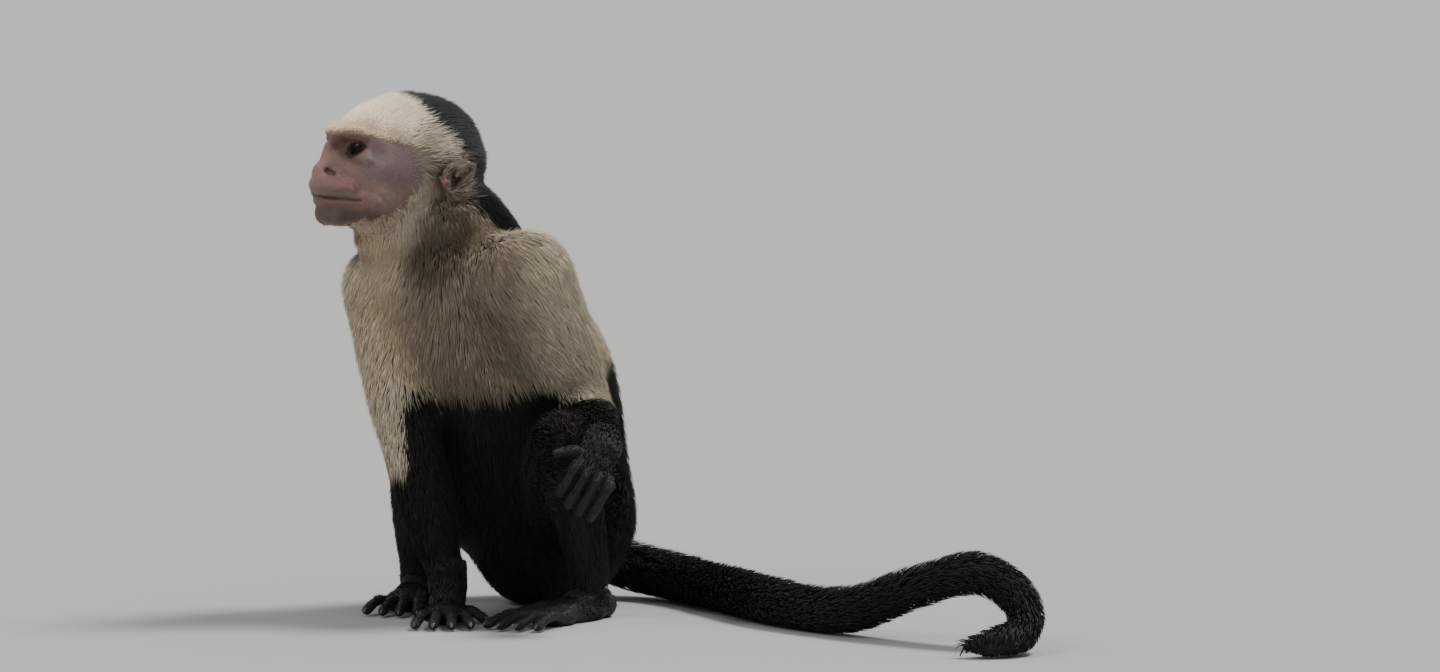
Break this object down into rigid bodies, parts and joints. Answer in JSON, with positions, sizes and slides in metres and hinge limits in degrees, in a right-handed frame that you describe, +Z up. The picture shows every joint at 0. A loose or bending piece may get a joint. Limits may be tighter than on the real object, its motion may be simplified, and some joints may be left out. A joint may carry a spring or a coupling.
{
  "type": "capuchin monkey",
  "caption": "Life-size white-faced capuchin monkey crouched on the floor, head turned, one hand closed in a fist, the other planted between the feet, long tail out to one side.",
  "frame": {"origin": "on the floor under the pelvis, in the middle of the seat", "axes": "+Z up; -Y the way the trunk faces; +X the animal's left, along which the tail lies"},
  "size_m": [0.4959, 0.2473, 0.3301],
  "materials": {
    "fur_cream": "soft cream fur",
    "fur_black": "dense black-brown fur",
    "face_skin": "bare pinkish skin",
    "paw_skin": "bare dark skin",
    "eye": "wet dark brown eye"
  },
  "bodies": {
    "root": {"eye_left": "eye", "eye_right": "eye", "head": "fur_cream", "neck": "fur_cream", "upper_arm_left": "fur_cream", "upper_arm_right": "fur_cream", "ear_left": "face_skin", "ear_right": "face_skin", "trunk": "fur_black", "forearm_left": "fur_black", "forearm_right": "fur_black", "thigh_left": "fur_black", "thigh_right": "fur_black", "shin_left": "fur_black", "shin_right": "fur_black", "tail_root": "fur_black", "tail_middle": "fur_black", "tail_far": "fur_black", "tail_tip": "fur_black", "hand_left": "paw_skin", "hand_right": "paw_skin", "foot_left": "paw_skin", "foot_right": "paw_skin"}
  },
  "joints": []
}
